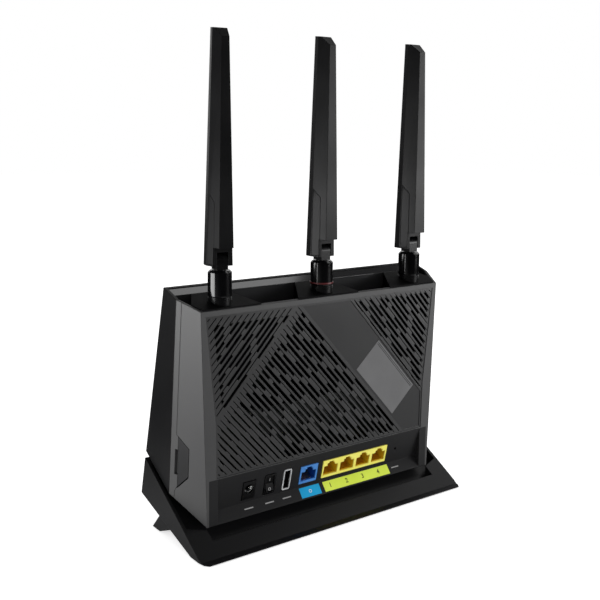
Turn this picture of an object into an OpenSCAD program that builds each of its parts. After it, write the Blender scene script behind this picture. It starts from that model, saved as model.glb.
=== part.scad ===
/* [Body] */
// Width across the front shell
body_w = 204.8; // [190:0.2:215]
// Distance that each side closes in from the front shell to the rear face, at the table's level
side_in = 11.8; // [10:0.1:14]
// Angle at which the side walls close in towards the rear
side_turn = 22.5; // [18:0.5:26]
// Outward draft of the side walls
side_draft = 1.77; // [1:0.01:2.5]
// Height of the rear top edge
rear_h = 144.5; // [138:0.1:152]
// Rise of the top from its rear edge to its front edge
front_rise = 10.8; // [8:0.1:13]
// Height of the rear bottom edge
rear_low = 12.9; // [11:0.1:16]
// Depth of the body along its top
top_d = 31.7; // [28:0.1:36]
// Lean of the front face and of the port panel
lean = 12.6; // [10:0.1:15]
// Slope of the body's underside and of the stand
stand_slope = 31; // [28:0.5:34]
// Wall of the housing shells
wall = 2; // [1.6:0.1:2.6]
// Width of the frame strip that shows between the two shells
strip_w = 3.8; // [3:0.1:5]
// Gap left along each seam between shells
seam_gap = 0.2; // [0.1:0.05:0.3]

/* [Deck] */
// Distance of the trough's front wall from the rear face
trough_d = 22; // [20:0.5:24]
// Depth of the trough floor below the rear top edge
trough_drop = 6.5; // [5:0.1:8]
// Depth of the ledge behind the rear wall below the rear top edge
ledge_drop = 0.8; // [0.5:0.1:2]
// Thickness of the deck moulding
deck_t = 1.8; // [1.4:0.1:2.4]
// Half-width of an antenna seat at the rear edge
seat_rear = 24.5; // [20:0.5:26]
// Half-width of an antenna seat at the trough's front wall
seat_front = 12; // [10:0.5:15]

/* [Vent grille] */
// Angle of the slots from the horizontal
slot_angle = 47.5; // [42:0.5:52]
// Distance between neighbouring slot lines
slot_pitch = 3.36; // [3:0.02:4.5]
// Width of a slot
slot_w = 2; // [1.6:0.1:2.2]
// Width of the shallow grooves that join the slots
groove_w = 0.6; // [0.4:0.1:0.8]
// Depth of the shallow grooves
groove_d = 0.9; // [0.5:0.1:1]
// Distance from the start of one slot to the start of the next on its line
slot_run = 29; // [26:1:36]
// Length of the shortest slot
slot_short = 13; // [8:1:16]
// Thickness of the grille plate
grille_t = 2.2; // [1.8:0.1:2.6]
// Depth of the grille's face below the frame around it
grille_sink = 0.4; // [0.2:0.1:0.6]
// Sideways place of the point where the two slot directions meet
apex_x = 24; // [16:1:30]
// Width of the smooth diagonal band across its direction
band_w = 32; // [28:1:36]

/* [Ports] */
// Height at which the port panel starts to lean in
panel_top = 41.5; // [40:0.5:43]
// Length of the port panel along its own plane
panel_len = 22.3; // [21.5:0.1:23]
// Distance of the port recess from the corner between rear and side
recess_edge = 7.1; // [6:0.1:9]
// Distance between neighbouring network sockets
jack_pitch = 13.97; // [13.97:0.01:14.2]
// Height of a network socket block
jack_h = 12.6; // [12:0.1:13.2]
// Clearance round each connector in its cut-out
port_gap = 0.4; // [0.15:0.05:0.5]
// Diameter of the power inlet
inlet_d = 6.3; // [5.5:0.1:6.6]
// Diameter of the power inlet's pin
inlet_pin_d = 2.1; // [2:0.1:2.5]
// Travel of the push buttons
button_travel = 1; // [0.6:0.1:1.2]
// Tilt of the power rocker at rest
rocker_tilt = 8; // [6:0.5:10]

/* [Antennas] */
// Distance of the outer antennas from the widest part of the body
antenna_side = 25.4; // [24:0.1:28]
// Distance of the antennas from the rear face
antenna_back = 8.9; // [8.6:0.1:9.6]
// Diameter of the collar
collar_d = 14.5; // [13.5:0.1:14.6]
// Height of the collar's foot above the housing's slope in front of it
collar_up = 1.3; // [1:0.1:2]
// Height of the collar
collar_h = 15.7; // [14:0.1:17]
// Height of the hinge pin above the collar's top
hinge_up = 6.2; // [6:0.1:7]
// Length of the blade from the hinge to its tip
blade_len = 135.4; // [110:0.1:150]
// Diameter of the hinge pin
pin_d = 2.5; // [2:0.1:3]
// Width of the hinge tongue
tongue_w = 7.2; // [6:0.1:8]
// Radius of the hinge tongue's round end
tongue_r = 4.2; // [3.8:0.1:4.3]
// Turn of the left antenna about its own upright axis
left_turn = -9; // [-30:1:30]
// Running clearance of the hinge pin in the blade, on the radius
pin_fit = 0.05; // [0.02:0.01:0.1]

/* [Stand] */
// Distance that the stand reaches past the body on each side
stand_out = 2.1; // [1:0.1:5]
// Flare of each end of the stand towards its rear edge
stand_flare = 1; // [0:0.1:3]
// Distance that the stand reaches behind the rear face
stand_back = 21.8; // [16:0.1:24]
// Distance of the stand's front face behind the line of the body's front
stand_inset = 3.5; // [2:0.1:5]
// Gap between the stand's top and the body's underside
stand_gap = 1.2; // [0.8:0.1:1.6]
// Depth of the dark pocket under the body
pocket_depth = 5.5; // [3:0.1:6]
// Distance that the pocket opens behind the rear face
pocket_back = 6.4; // [4:0.1:9]
// Slope of the stand's underside
under_slope = 15.8; // [14:0.1:17]
// Height of the rubber pads below the stand
pad_h = 0.8; // [0.6:0.1:1.5]
// Length of each front foot
foot_len = 46; // [30:1:60]

/* [Hidden] */
$fn = 48;

far = 400;                       // longer than anything that a cutter has to cross
slope_t = tan(stand_slope);
under_t = tan(under_slope);
lean_t = tan(lean);
rear_w = body_w - 2 * side_in;
front_h = rear_h + front_rise;
top_t = front_rise / top_d;
seam_x = body_w / 2;
side_t = tan(side_turn);
draft_t = tan(side_draft) / cos(side_turn);
recess_half = rear_w / 2 - recess_edge;
antenna_pitch = seam_x - antenna_side;
stand_w = body_w + 2 * stand_out;
collar_low = top_z(-antenna_back - collar_d / 2) + collar_up;

// The row frame has its origin under the middle of the footprint; the drawing below puts Y = 0 on the rear face.
stand_top0 = rear_low - stand_gap / cos(stand_slope);
stand_under0 = 2.25;
stand_inset_y = stand_inset / cos(lean);
stand_front_y = (front_y(stand_under0) + stand_inset_y) / (1 + lean_t * under_t);
rear_y = -(stand_back + stand_front_y) / 2;

function front_y(z) = -top_d - (front_h - z) * lean_t;
function body_low(y) = rear_low - y * slope_t;
function stand_top(y) = stand_top0 - y * slope_t;
function stand_under(y) = stand_under0 - y * under_t;
function top_z(y) = rear_h - y * top_t;
function seam_y(z) = (rear_w / 2 + z * draft_t - seam_x) / side_t;
function side_x(y, z) = min(seam_x, rear_w / 2 + z * draft_t - y * side_t);
// Where the underside meets the plane of the front face
front_foot_y = -(top_d + (front_h - rear_low) * lean_t) / (1 + slope_t * lean_t);

module placed() translate([0, rear_y, 0]) children();
module along_x(w, x0 = 0) translate([x0 - w / 2, 0, 0]) rotate([90, 0, 90]) linear_extrude(w) children();
// Draws an XZ outline, seen from the front, and gives it depth t from y towards the rear
module slab_y(y, t) translate([0, y + t, 0]) rotate([90, 0, 0]) linear_extrude(t) children();
module both_sides() { children(); mirror([1, 0, 0]) children(); }

// ---- Housing volumes ----
module side_cut(inset = 0)
    both_sides()
        translate([rear_w / 2 - inset / cos(side_turn), 0, 0])
            rotate([0, 0, side_turn]) rotate([0, side_draft, 0])
                translate([0, -far / 2, -far / 4]) cube([far, far, far]);

module body_outline()
    polygon([[0, rear_low], [0, rear_h], [-top_d, front_h], [front_foot_y, body_low(front_foot_y)]]);

module body_block()
    difference() {
        along_x(body_w) body_outline();
        side_cut();
    }

// Everything inside the walls; it runs out through the top, which the deck closes
module body_cavity(w = wall) {
    low = rear_low + w / cos(stand_slope);
    inner = w / cos(lean);
    fy = -(top_d - inner + (front_h - low) * lean_t) / (1 + slope_t * lean_t);
    difference() {
        along_x(body_w - 2 * w)
            polygon([
                [-w, low + w * slope_t], [-w, far / 2],
                [front_y(far / 2) + inner, far / 2], [fy, low - fy * slope_t]
            ]);
        side_cut(w);
        port_block(w);
    }
}

// The leaning recess that the connectors sit in, as a wedge grown by g
recess_d = panel_len * sin(lean);
recess_low = panel_top - panel_len * cos(lean);
lip_h = 0.6;
module port_wedge(g = 0)
    polygon([
        [g ? -wall : 0.01, panel_top + g], [-recess_d - g, recess_low],
        [g ? -wall : 0.01, rear_low + lip_h - g], if (!g) [5, rear_low + lip_h], if (!g) [5, panel_top]
    ]);
module port_recess() along_x(2 * recess_half) port_wedge();
module port_block(w) along_x(2 * recess_half + 2 * w) port_wedge(w);

module shell_wall()
    difference() {
        body_block();
        body_cavity();
    }

// ---- Seams, drawn in the YZ plane ----
zone_lo = -20;
zone_hi = 220;
function seam2_y(z) = seam_y(z) + strip_w;
module front_zone()
    polygon([
        [-far, zone_lo], [seam_y(zone_lo) - seam_gap / 2, zone_lo],
        [seam_y(zone_hi) - seam_gap / 2, zone_hi], [-far, zone_hi]
    ]);
module mid_zone()
    polygon([
        [seam_y(zone_lo) + seam_gap / 2, zone_lo], [seam2_y(zone_lo) - seam_gap / 2, zone_lo],
        [seam2_y(zone_hi) - seam_gap / 2, zone_hi], [seam_y(zone_hi) + seam_gap / 2, zone_hi]
    ]);
module rear_zone()
    polygon([
        [seam2_y(zone_lo) + seam_gap / 2, zone_lo], [far, zone_lo],
        [far, zone_hi], [seam2_y(zone_hi) + seam_gap / 2, zone_hi]
    ]);

// ---- Card door in the left side wall ----
door_top = 68;
door_low = 34.5;
door_reach = 9;                  // from the seam to the door's rear edge
door_jamb = 1.9;                 // frame that the door's front edge stands back from the seam
door_t = 1.6;
door_gap = 0.3;                  // room that the door needs to swing out past the cover's edge
// Grown by g, and by more below, where the slanted edge sinks as the door swings
module door_outline(g = 0)
    polygon([
        [seam2_y(door_top) + door_jamb - 0.6 - g, door_top - 2 + 2.2 * g], [seam2_y(59) + door_reach + g, 59.5 + g],
        [seam2_y(42) + door_reach + g, 42 - 2 * g], [seam2_y(door_low) + door_jamb - g, door_low - 4.4 * g]
    ]);
notch_hi = 58;
notch_lo = 42;
module notch_outline()
    polygon([
        [seam2_y(notch_lo) - 0.6, notch_lo], [seam2_y(notch_lo) + door_jamb, notch_lo],
        [seam2_y(notch_hi) + door_jamb, notch_hi], [seam2_y(notch_hi) - 0.6, notch_hi]
    ]);
// The left half of the wall only, so that a cut stays out of the right one
module left_side(depth = 30) translate([seam_x - depth, -far / 2, 0]) cube([depth + 10, far, far]);
// Skin of the left side wall between two depths below its surface
module left_skin(t0, t1)
    intersection() {
        difference() {
            along_x(body_w + 40) body_outline();
            side_cut(t0);
        }
        union() translate([rear_w / 2 - t1 / cos(side_turn), 0, 0])
            rotate([0, 0, side_turn]) rotate([0, side_draft, 0])
                translate([0, -far / 2, -far / 4]) cube([far, far, far]);
        left_side();
    }

// ---- Shells ----
module front_cover()
    placed() color("#1b1b1c")
        difference() {
            union() {
                intersection() {
                    shell_wall();
                    along_x(far) front_zone();
                }
                on_board() board_posts(board_post_d, 0);
            }
            light_window(0.15);
            on_board() board_posts(screw_d + 0.1, 1);
            housing_screw_bores();
        }
// Posts that reach from the front shell to the board, rooted in its wall
board_post_d = 7;
post_root = 0.6;
module board_posts(d, out)
    for (p = board_holes)
        translate([p[0], out, p[1]]) rotate([90, 0, 0]) cylinder(d = d, h = board_gap + post_root + out);

// Row of indicator windows low on the front face
light_n = 8;
light_pitch = 15;
light_w = 5;
light_z = 58;
module light_window(g = 0)
    for (i = [0 : light_n - 1])
        translate([(i - (light_n - 1) / 2) * light_pitch, front_y(light_z), light_z])
            rotate([-lean, 0, 0])
                translate([-light_w / 2 - g, -1, -1 - g]) cube([light_w + 2 * g, wall + 1.6, 2 + 2 * g]);

module light_guide()
    placed() color("#d9dde0") {
        intersection() {
            union() {
                light_window();
                translate([0, front_y(light_z), light_z]) rotate([-lean, 0, 0])
                    translate([-light_n * light_pitch / 2, wall + 0.3, -3])
                        cube([light_n * light_pitch, 1.6, 6]);
            }
            along_x(body_w) behind_front();
        }
    }
// Half-plane behind the front face
module behind_front() polygon([[front_y(0), 0], [far, 0], [far, far], [front_y(far), far]]);

module mid_frame()
    placed() color("#5c5d5f")
        difference() {
            intersection() {
                shell_wall();
                union() {
                    along_x(far) mid_zone();
                    intersection() {
                        along_x(far) jamb_outline();
                        left_side();
                    }
                }
            }
            intersection() {
                along_x(far) notch_outline();
                left_side(wall * 0.6 + 2);
            }
        }
// Frame in front of the door, which the rear cover clears by g
module jamb_outline(g = 0)
    polygon([
        [seam2_y(door_top) - 1, door_top + 1.4 * g],
        [seam2_y(door_top) + door_jamb - 0.6 - seam_gap + g, door_top - 2 + 0.5 * g],
        [seam2_y(door_low) + door_jamb - seam_gap + g, door_low - 0.3 * g],
        [seam2_y(door_low - 5) - 1, door_low - 5 - 2 * g]
    ]);

module rear_cover()
    placed() color("#333435")
        difference() {
            union() {
                intersection() {
                    shell_wall();
                    along_x(far) rear_zone();
                }
                grille_rebate();
            }
            port_recess();
            slab_y(-grille_t - grille_sink, 10) grille_outline(seam_gap / 2);
            slab_y(-10, 20) grille_outline(-1.6);
            all_port_cuts();
            intersection() {
                union() {
                    along_x(far) door_outline(door_gap);
                    along_x(far) jamb_outline(seam_gap);
                }
                left_side();
            }
            side_button_cut();
            edge_bevel();
            housing_screw_bores();
        }
// Shallow facet down each rear edge, wider towards the bottom
module edge_bevel()
    both_sides()
        translate([side_x(0, 0), -1.3, 0]) rotate([0, side_draft, 0]) rotate([0, 0, -12])
            translate([-12, 2.55, -20]) cube([30, 10, far]);
// Ledge inside the rear wall that backs the grille's edge
module grille_rebate()
    difference() {
        slab_y(-grille_t - grille_sink - 1.6, grille_t + grille_sink + 1.6 - wall / 2) grille_outline(2);
        slab_y(-20, 40) grille_outline(-1.6);
        translate([-far / 2, -far / 2, ledge_z - deck_t - seam_gap]) cube(far);
    }

// ---- Vent grille ----
grille_hi = rear_h - 3.3;
grille_mid = 75;
grille_lo = panel_top + 0.5;
// The frame round the grille is narrower at the top than at the bottom
function grille_half(z, edge) = rear_w / 2 + z * draft_t - edge;
apex = [apex_x, grille_hi - 0.6];
down_right = [-cos(slot_angle), -sin(slot_angle)];
down_left = [cos(slot_angle), -sin(slot_angle)];
band_across = band_w / sin(slot_angle);
function mirror_x(points) = [for (i = [len(points) - 1 : -1 : 0]) [-points[i][0], points[i][1]]];
grille_right = [
    [grille_half(grille_lo, 7.6), grille_lo], [grille_half(grille_mid, 8.2), grille_mid],
    [grille_half(grille_hi, 3.3), grille_hi]
];
module grille_outline(g = 0)
    polygon([
        for (p = grille_right) [p[0] + g, p[1] + (p[1] == grille_lo ? -g : p[1] == grille_hi ? g : 0)],
        for (p = mirror_x(grille_right)) [p[0] - g, p[1] + (p[1] == grille_lo ? -g : p[1] == grille_hi ? g : 0)]
    ]);
margin = 1.2;                    // plain border between the grooves and the grille's edge
slot_edge = 2.6;                 // border that the slots keep
left_edge = 5.5;                 // border that the slots of the left field keep
ridge_gap = 4.5;                 // solid bar left below the ridge
// Three slotted fields: left of the ridge, below it, and right of the smooth band
module zone_left() polygon([apex + [1, 2], apex + far * down_left + [1, 2], [far, far], [apex[0] + 1, far]]);
module zone_main() polygon([apex, apex + far * down_left, apex + far * down_right]);
module zone_right()
    polygon([
        apex + [-band_across, 0], apex + [-band_across, 0] + far * down_right,
        [-far, far], [apex[0] - band_across, far]
    ]);

// Copies children along lines that run in direction dir_angle, starting from origin and stepping along step
module line_set(origin, dir_angle, step, n0, n1)
    for (k = [n0 : n1])
        translate(origin + k * step) rotate(dir_angle) { $line = k; children(); }
step_main = slot_pitch / sin(2 * slot_angle) * down_left;
step_side = slot_pitch / sin(slot_angle);
angle_right = 180 + slot_angle;  // towards down_right
angle_left = -slot_angle;        // towards down_left
main_n = ceil((grille_right[0][0] - apex_x + (apex[1] - grille_lo) / tan(slot_angle)) / 2 / step_main[0]);
left_n = ceil((grille_half(grille_hi, 0) - apex_x) / step_side);
right_n = ceil((grille_half(grille_hi, 0) - band_across + apex_x) / step_side);
module main_lines(n0) line_set(apex - 0.5 * step_main, angle_right, step_main, n0, main_n) children();
module left_lines(n0) line_set(apex, angle_left, [step_side, 0], n0, left_n) children();
module right_lines(n0)
    line_set(apex + [-band_across, 0], angle_right, [-step_side, 0], n0, right_n) children();

// Slots along line k; each line starts at its own phase and its slots differ in length
slot_spread = 12;                // the longest slot is this much longer than the shortest
function part_of_one(v) = v - floor(v);
function slot_length(k, j) = slot_short + slot_spread * abs(sin(71 * k + 133 * j));
function slot_phase(k) = slot_run * part_of_one(0.382 * k + 0.2 * sin(53 * k));
line_len = (grille_hi - grille_lo) / sin(slot_angle);
module slot_line(k, w = slot_w)
    for (j = [0 : ceil(line_len / slot_run)])
        translate([j * slot_run - slot_phase(k), -slot_w / 2]) square([slot_length(k, j), w]);
// The groove runs along one edge of its line's slots
module groove_line(y = -slot_w / 2) translate([-far / 2, y]) square([far, groove_w]);
narrow_from = 22;                // from this line on, the slots of the main field are narrow
narrow_w = 1.1;

module all_grooves() {
    intersection() {
        grille_outline(-margin);
        zone_main();
        main_lines(0) groove_line();
    }
    intersection() {
        grille_outline(-margin);
        zone_left();
        left_lines(0) groove_line(slot_w / 2 - groove_w);
    }
    intersection() {
        grille_outline(-margin);
        zone_right();
        right_lines(0) groove_line();
    }
}
module all_slots() {
    intersection() {
        grille_outline(-slot_edge);
        translate(ridge_gap * down_right) zone_main();
        main_lines(1) slot_line($line, $line < narrow_from ? slot_w : narrow_w);
    }
    intersection() {
        grille_outline(-left_edge);
        zone_left();
        left_lines(1) slot_line($line + 7);
    }
    intersection() {
        grille_outline(-slot_edge);
        zone_right();
        right_lines(0) slot_line($line + 3);
    }
}
module band_outline(g = 0)
    intersection() {
        grille_outline(-margin);
        polygon([
            apex + [-2, 0], apex + [-2, 0] + far * down_right,
            apex + [-band_across + 2, 0] + far * down_right, apex + [-band_across + 2, 0]
        ]);
    }

module vent_grille()
    placed() color("#3a3b3c")
        difference() {
            union() {
                slab_y(-grille_t - grille_sink, grille_t - groove_d)
                    difference() {
                        grille_outline();
                        all_slots();
                    }
                slab_y(-groove_d - grille_sink, groove_d)
                    difference() {
                        grille_outline();
                        all_grooves();
                        all_slots();
                        band_outline();
                    }
                slab_y(-groove_d - grille_sink, groove_d - 0.4)
                    band_outline();
            }
            slab_y(-grille_sink - 0.4 - label_t, 5) rating_outline(0.1);
        }

// ---- Labels ----
label_t = 0.3;
rating_size = [26, 49];
rating_corner = [-43.6, 110.2];
module rating_outline(g = 0)
    translate(rating_corner) rotate(angle_right)
        translate([-g, -g]) square([rating_size[1] + 2 * g, rating_size[0] + 2 * g]);
module rating_label()
    placed() color("#8d8f91") slab_y(-grille_sink - 0.4 - label_t, label_t) rating_outline();

ledge_angle = atan2(recess_low - rear_low - lip_h, recess_d);
ledge_len = norm([recess_low - rear_low - lip_h, recess_d]);
module on_ledge(x)
    translate([x, -recess_d, recess_low]) rotate([-ledge_angle, 0, 0]) children();
label_inset = 0.6;
module ledge_label(x0, x1, g = 0)
    on_ledge(x0)
        translate([-g, label_inset - g, -label_t]) cube([x1 - x0 + 2 * g, ledge_len - 2 * label_inset + 2 * g, label_t + g]);
wan_label_x = [3.3, 19.5];
lan_label_x = [-56.8, 0.2];
module wan_label() placed() color("#1186b8") ledge_label(wan_label_x[0], wan_label_x[1]);
module lan_label() placed() color("#c8d85a") ledge_label(lan_label_x[0], lan_label_x[1]);

// ---- Deck and antenna seats ----
trough_z = rear_h - trough_drop;
ledge_z = rear_h - ledge_drop;
deck_gap = 0.2;
deck_sink = 0.4;                 // depth of the deck's front part below the housing's top
ledge_y = -wall - deck_gap - 4;
module deck_profile() {
    z0 = front_h - 0.6;
    y0 = front_y(z0) + wall / cos(lean) + deck_gap;
    y1 = -wall - deck_gap;
    polygon([
        [y0, top_z(y0) - deck_sink], [-trough_d, top_z(-trough_d) - deck_sink], [-trough_d, trough_z],
        [ledge_y, trough_z], [ledge_y, ledge_z], [y1, ledge_z], [y1, ledge_z - deck_t],
        [ledge_y + deck_t, ledge_z - deck_t], [ledge_y + deck_t, trough_z - deck_t],
        [-trough_d - deck_t, trough_z - deck_t], [-trough_d - deck_t, top_z(-trough_d) - deck_t - deck_sink],
        [y0, top_z(y0) - deck_t - deck_sink]
    ]);
}
module top_deck()
    placed() color("#0c0c0d")
        difference() {
            along_x(body_w - 2 * wall - 2 * deck_gap) deck_profile();
            side_cut(wall + deck_gap);
            for (i = [-1, 0, 1])
                translate([i * antenna_pitch, -antenna_back, 0])
                    cylinder(d = jack_stem_d + 1, h = far);
        }
// Seats: wedges whose top follows the slope of the housing's top, standing on the trough's floor and ledge
seat_lip = 0.6;                  // distance of the seats' rear edge from the rear face
seat_rise = 0.7;                 // thickness of the lip over the rear wall
module seat_profile() {
    y1 = -wall - deck_gap;
    polygon([
        [ledge_y - deck_gap, trough_z], [ledge_y - deck_gap, ledge_z], [y1, ledge_z], [y1, top_z(y1) + deck_gap],
        [-seat_lip, top_z(-seat_lip) + deck_gap], [-seat_lip, top_z(-seat_lip) + deck_gap + seat_rise],
        [-trough_d + deck_gap, top_z(-trough_d) - deck_sink], [-trough_d + deck_gap, trough_z]
    ]);
}
module seat_plan()
    polygon([
        [-seat_rear, -seat_lip], [seat_rear, -seat_lip],
        [seat_front, -trough_d + deck_gap], [-seat_front, -trough_d + deck_gap]
    ]);
module antenna_seats()
    placed() color("#161616")
        for (i = [-1, 0, 1])
            difference() {
                intersection() {
                    translate([i * antenna_pitch, 0, trough_z]) linear_extrude(20) seat_plan();
                    along_x(far) seat_profile();
                }
                side_cut(wall + deck_gap);
                translate([i * antenna_pitch, -antenna_back, 0]) cylinder(d = jack_stem_d + 0.2, h = far);
            }

// ---- Port panel pieces, drawn in the panel's own leaning frame ----
module on_panel(x, s)
    translate([x, 0, panel_top]) rotate([-lean, 0, 0]) translate([0, 0, -s]) children();
jack_mid_s = 13.2;
lan_n = 4;
lan_x = -26.3;
wan_x = 13.05;
usb_x = 30.4;
switch_x = 43.8;
dc_x = 59.5;
reset_x = -62.9;
reset_s = 11.9;
jack_d = 14;
jack_w = 14;                     // width of a block around one socket
lan_w = (lan_n - 1) * jack_pitch + jack_w;
usb_size = [6, 14.6];
usb_wall = 0.7;
switch_size = [8.2, 14];
corner_r = 1.2;                  // corners of the USB shell and of the switch
dc_size = [9, 12.6];
face_out = 0.3;                  // how far the connector faces stand out of the panel

module port_box(w, h, d, g = 0, out = face_out)
    translate([-w / 2 - g, -d, -h / 2 - g]) cube([w + 2 * g, d + out, h + 2 * g]);
module round_outline(w, h, r) {
    square([w - 2 * r, h], center = true);
    square([w, h - 2 * r], center = true);
    for (x = [-1, 1], z = [-1, 1]) translate([x * (w / 2 - r), z * (h / 2 - r)]) circle(r);
}
module round_box(size, d, g = 0, out = face_out)
    translate([0, out, 0]) rotate([90, 0, 0]) linear_extrude(d + out)
        round_outline(size[0] + 2 * g, size[1] + 2 * g, corner_r + g);
// Everything below the housing's floor, for what has to stay clear of it by g
module under_floor(g = 0) {
    z0 = rear_low + (wall + g) / cos(stand_slope);
    along_x(far) polygon([[far, z0 - far * slope_t], [-far, z0 + far * slope_t], [-far, -far], [far, -far]]);
}
module all_port_cuts() {
    cut = 20;
    difference() {
        socket_cuts(cut);
        under_floor();
    }
    on_panel(reset_x, reset_s) rotate([90, 0, 0]) cylinder(d = reset_d + 0.3, h = 40, center = true);
    ledge_label(wan_label_x[0], wan_label_x[1], 0.05);
    ledge_label(lan_label_x[0], lan_label_x[1], 0.05);
}
module socket_cuts(cut) {
    on_panel(lan_x, jack_mid_s) port_box(lan_w, jack_h, cut, port_gap, 5);
    on_panel(wan_x, jack_mid_s) port_box(jack_w, jack_h, cut, port_gap, 5);
    on_panel(usb_x, jack_mid_s) round_box(usb_size, cut, port_gap, 5);
    on_panel(switch_x, jack_mid_s) round_box(switch_size, cut, port_gap, 5);
    on_panel(dc_x, jack_mid_s + 0.4) port_box(dc_size[0], dc_size[1], cut, port_gap, 5);
}
// Hollow of one network socket, with the latch slot above
module jack_hollow() {
    depth = 11;
    translate([-5.9, -depth, -4.6]) cube([11.8, depth + 1, 6.8]);
    translate([-3.2, -depth, 2.1]) cube([6.4, depth + 1, 1.9]);
    translate([-1.9, -depth, 3.9]) cube([3.8, depth + 1, 1.3]);
}
module jack_block(x, w, n)
    placed()
        difference() {
            on_panel(x, jack_mid_s) difference() {
                port_box(w, jack_h, jack_d);
                for (i = [0 : n - 1]) translate([(i - (n - 1) / 2) * jack_pitch, 0, 0]) jack_hollow();
            }
            under_floor(floor_gap);
        }
floor_gap = 0.3;
module lan_port_block() color("#e8dc62") jack_block(lan_x, lan_w, lan_n);
module wan_port() color("#3f76b5") jack_block(wan_x, jack_w, 1);
module usb_port()
    placed() color("#b9bcc0")
        difference() {
            on_panel(usb_x, jack_mid_s) difference() {
                round_box(usb_size, jack_d);
                round_box(usb_size, jack_d - 2.5, -usb_wall, 5);
            }
            under_floor(floor_gap);
        }
module usb_tongue()
    placed() color("#1a1a1c") on_panel(usb_x, jack_mid_s)
        translate([0.2, -jack_d + 2.5, -5.4]) cube([1.9, jack_d - 4, 10.8]);
dc_hole_up = 1.0;
pin_back = 3.5;                  // depth of the inlet pin's end behind the panel
module dc_jack()
    placed() color("#151516")
        difference() {
            on_panel(dc_x, jack_mid_s + 0.4) difference() {
                port_box(dc_size[0], dc_size[1], jack_d);
                translate([0, 5, dc_hole_up]) rotate([90, 0, 0]) cylinder(d = inlet_d, h = 15);
                translate([0, 5, dc_hole_up]) rotate([90, 0, 0]) cylinder(d = inlet_pin_d, h = 17);
            }
            under_floor(floor_gap);
        }
module dc_jack_pin()
    placed() color("#c9ccd0") on_panel(dc_x, jack_mid_s + 0.4)
        translate([0, -pin_back, dc_hole_up]) rotate([90, 0, 0]) cylinder(d = inlet_pin_d, h = 12 - pin_back);

rocker_w = 5.6;
rocker_h = 10.6;
rocker_back = 3;                 // depth of the rocker's axis behind the panel
rocker_pin_d = 1.6;
module power_switch_housing()
    placed() color("#1a1a1b")
        difference() {
            on_panel(switch_x, jack_mid_s) difference() {
                round_box(switch_size, jack_d);
                translate([-rocker_w / 2 - 0.3, -7.5, -rocker_h / 2 - 0.5])
                    cube([rocker_w + 0.6, 20, rocker_h + 1]);
                translate([0, -rocker_back, 0]) rotate([0, 90, 0])
                    cylinder(d = rocker_pin_d + 0.1, h = rocker_w + 2, center = true);
            }
            under_floor(floor_gap);
        }
module power_rocker()
    placed() color("#0f0f10") on_panel(switch_x, jack_mid_s)
        translate([0, -rocker_back, 0]) rotate([rocker_tilt, 0, 0]) {
            rotate([0, 90, 0]) cylinder(d = rocker_pin_d, h = rocker_w + 1.8, center = true);
            translate([-rocker_w / 2, 0, 0]) rotate([90, 0, 90]) linear_extrude(rocker_w)
                polygon([
                    [-2, -2], [-2, 2], [0.6, rocker_h / 2 - 0.9], [3.6, rocker_h / 2 - 0.5],
                    [2.6, 0], [3.6, -rocker_h / 2 + 0.5], [0.6, -rocker_h / 2 + 0.9]
                ]);
        }

reset_d = 1.7;
module reset_button()
    placed() color("#2b2b2c") on_panel(reset_x, reset_s)
        translate([0, -1.2, 0]) rotate([90, 0, 0]) {
            cylinder(d = reset_d, h = button_travel + 3.2);
            translate([0, 0, 1.2]) cylinder(d = 4, h = 3);
        }

// Pairing button in the right side wall
button_z = 62;
button_y = -13;
button_w = 7;
module on_right_side(t = 0)
    translate([-side_x(button_y, button_z), button_y, button_z])
        rotate([0, 0, -side_turn]) rotate([0, -side_draft, 0]) translate([t, 0, 0]) children();
module side_button_cut()
    on_right_side() rotate([0, 90, 0]) cylinder(d = button_w + 0.4, h = 12, center = true);
module pairing_button()
    placed() color("#1c1c1d") on_right_side(-0.5) rotate([0, 90, 0]) {
        cylinder(d = button_w, h = button_travel + 3.5);
        translate([0, 0, button_travel + 2.1]) cylinder(d = button_w + 2.4, h = 1.4);
    }

// Board that carries the connectors, parallel to the port panel
port_board_half = recess_half + 2.5;
port_board_low = -16.8;
port_board_high = 34;
module port_board()
    placed() color("#1f4d2e") on_panel(0, 0)
        difference() {
            translate([-port_board_half, -jack_d - board_t, port_board_low])
                cube([2 * port_board_half, board_t, port_board_high - port_board_low]);
            for (x = [-1, 1]) translate([x * (port_board_half - 6), 0, port_board_high - 5])
                rotate([90, 0, 0]) cylinder(d = 3.2, h = 60, center = true);
        }

// ---- Side pieces ----
module sim_door()
    placed() color("#4a4b4d")
        intersection() {
            left_skin(0, door_t);
            along_x(far) door_outline();
            left_side();
        }
module sim_socket()
    placed() color("#b4b7ba") on_panel(port_board_half - 14, 0)
        difference() {
            translate([0, -jack_d - board_t - 2.8, -3]) cube([18, 2.8, 17]);
            translate([2, -jack_d - board_t - 2.1, -1.8]) cube([20, 1.4, 14.6]);
        }

// ---- Inside ----
board_gap = 9;                   // from the front shell's inner face to the board
board_t = 1.6;
board_lo = 56;
board_hi = rear_h - 6.5;
board_half = seam_x - 10.4;
board_tall = board_hi - board_lo;
module on_board() translate([0, front_y(0) + (wall + board_gap) / cos(lean), 0]) rotate([-lean, 0, 0]) children();
module main_board()
    placed() color("#1f4d2e") on_board()
        difference() {
            translate([-board_half, 0, board_lo]) cube([2 * board_half, board_t, board_hi - board_lo]);
            for (p = board_holes) translate([p[0], 5, p[1]]) rotate([90, 0, 0]) cylinder(d = 3.2, h = 10);
        }
board_holes = [
    for (x = [-1, 1], z = [board_lo + 5, board_hi - 5]) [x * (board_half - 6), z]
];
module board_screws()
    placed() color("#a9adb1") on_board()
        for (p = board_holes) translate([p[0], board_t + 1.6, p[1]]) rotate([90, 0, 0]) {
            cylinder(d = 5.5, h = 1.5);
            cylinder(d = 3, h = board_t + board_gap + 1.4);
        }
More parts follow.
